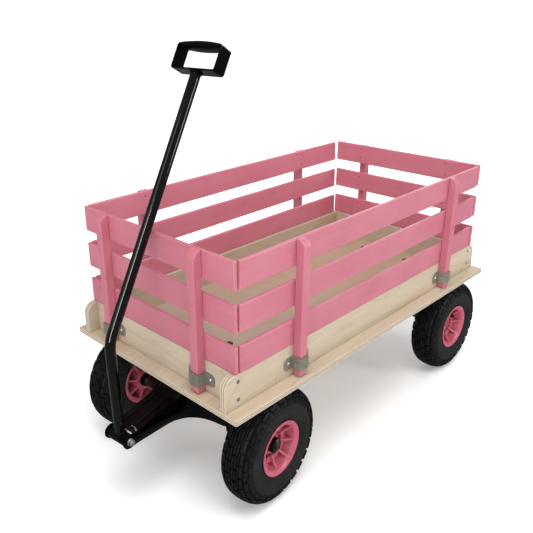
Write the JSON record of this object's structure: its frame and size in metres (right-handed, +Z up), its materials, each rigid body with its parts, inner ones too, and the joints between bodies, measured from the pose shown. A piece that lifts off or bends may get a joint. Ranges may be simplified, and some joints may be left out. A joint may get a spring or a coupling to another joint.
{
  "type": "garden wagon",
  "caption": "Four-wheeled garden wagon with lift-out slatted stake panels on a plywood tray, turntable steering and a fold-up pull handle with a loop grip.",
  "frame": {"origin": "on the ground, at the centre of the object's box in plan", "axes": "+Z up, -Y is the front where the handle pulls, +X is the wagon's left to right direction seen from behind"},
  "size_m": [0.54, 1.1457, 0.9483],
  "materials": {
    "plywood": "bare pale birch plywood, edges showing the plies",
    "painted_wood": "pink paint on softwood slats, satin",
    "bracket_steel": "dull zinc-plated pressed strip",
    "tyre_rubber": "matt black block-tread rubber",
    "rim_paint": "gloss pink enamel on a pressed steel rim",
    "black_plastic": "semi-matt black moulded plastic",
    "plated_steel": "bright zinc-plated steel",
    "black_paint": "gloss black powder coat"
  },
  "bodies": {
    "wagon": {"base_plate": "plywood", "side_board_left": "plywood", "side_board_right": "plywood", "end_board_front": "plywood", "end_board_rear": "plywood", "bracket_front_left": "bracket_steel", "bracket_front_right": "bracket_steel", "bracket_left_front": "bracket_steel", "bracket_left_rear": "bracket_steel", "bracket_rear_left": "bracket_steel", "bracket_rear_right": "bracket_steel", "bracket_right_front": "bracket_steel", "bracket_right_rear": "bracket_steel", "front_slat_low": "painted_wood", "front_slat_middle": "painted_wood", "front_slat_top": "painted_wood", "front_post_left": "painted_wood", "front_post_right": "painted_wood", "rear_axle_frame": "black_paint", "rear_axle": "plated_steel", "turntable_upper_plate": "black_paint", "turntable_race": "black_plastic", "kingpin": "plated_steel"},
    "right_panel": {"right_slat_low": "painted_wood", "right_slat_middle": "painted_wood", "right_slat_top": "painted_wood", "right_post_front": "painted_wood", "right_post_rear": "painted_wood"},
    "left_panel": {"left_slat_low": "painted_wood", "left_slat_middle": "painted_wood", "left_slat_top": "painted_wood", "left_post_front": "painted_wood", "left_post_rear": "painted_wood"},
    "rear_panel": {"rear_slat_low": "painted_wood", "rear_slat_middle": "painted_wood", "rear_slat_top": "painted_wood", "rear_post_left": "painted_wood", "rear_post_right": "painted_wood"},
    "steering": {"turntable_lower_plate": "black_paint", "front_axle_frame": "black_paint", "front_axle": "plated_steel", "pivot_bolt": "plated_steel"},
    "handle": {"handle_tube": "black_paint", "pivot_sleeve": "black_paint", "grip_frame": "black_paint", "grip_cover": "black_plastic"},
    "front_right_wheel": {"front_right_tyre": "tyre_rubber", "front_right_rim": "rim_paint", "front_right_bush": "black_plastic"},
    "front_left_wheel": {"front_left_tyre": "tyre_rubber", "front_left_rim": "rim_paint", "front_left_bush": "black_plastic"},
    "rear_right_wheel": {"rear_right_tyre": "tyre_rubber", "rear_right_rim": "rim_paint", "rear_right_bush": "black_plastic"},
    "rear_left_wheel": {"rear_left_tyre": "tyre_rubber", "rear_left_rim": "rim_paint", "rear_left_bush": "black_plastic"}
  },
  "joints": [
    {"name": "steering", "type": "hinge", "parent": "wagon", "child": "steering", "pos_m": [0, -0.3281, 0.22], "axis": [0, 0, 1], "range_deg": [-27, 17]},
    {"name": "handle_tilt", "type": "hinge", "parent": "steering", "child": "handle", "pos_m": [0.01978, -0.55424, 0.1795], "axis": [0.9962, 0.0872, 0], "range_deg": [0, 115]},
    {"name": "right_panel_lift", "type": "slide", "parent": "wagon", "child": "right_panel", "axis": [0.0175, 0, 0.9998], "range_m": [0, 0.15]},
    {"name": "left_panel_lift", "type": "slide", "parent": "wagon", "child": "left_panel", "axis": [-0.0175, 0, 0.9998], "range_m": [0, 0.15]},
    {"name": "rear_panel_lift", "type": "slide", "parent": "wagon", "child": "rear_panel", "axis": [0, 0.0175, 0.9998], "range_m": [0, 0.15]},
    {"name": "front_right_wheel_spin", "type": "hinge", "parent": "steering", "child": "front_right_wheel", "pos_m": [0.21468, -0.30932, 0.13], "axis": [0.9962, 0.0872, 0], "continuous": true},
    {"name": "front_left_wheel_spin", "type": "hinge", "parent": "steering", "child": "front_left_wheel", "pos_m": [-0.21468, -0.34688, 0.13], "axis": [0.9962, 0.0872, 0], "continuous": true},
    {"name": "rear_right_wheel_spin", "type": "hinge", "parent": "wagon", "child": "rear_right_wheel", "pos_m": [0.2155, 0.4429, 0.13], "axis": [1, 0, 0], "continuous": true},
    {"name": "rear_left_wheel_spin", "type": "hinge", "parent": "wagon", "child": "rear_left_wheel", "pos_m": [-0.2155, 0.4429, 0.13], "axis": [1, 0, 0], "continuous": true}
  ]
}
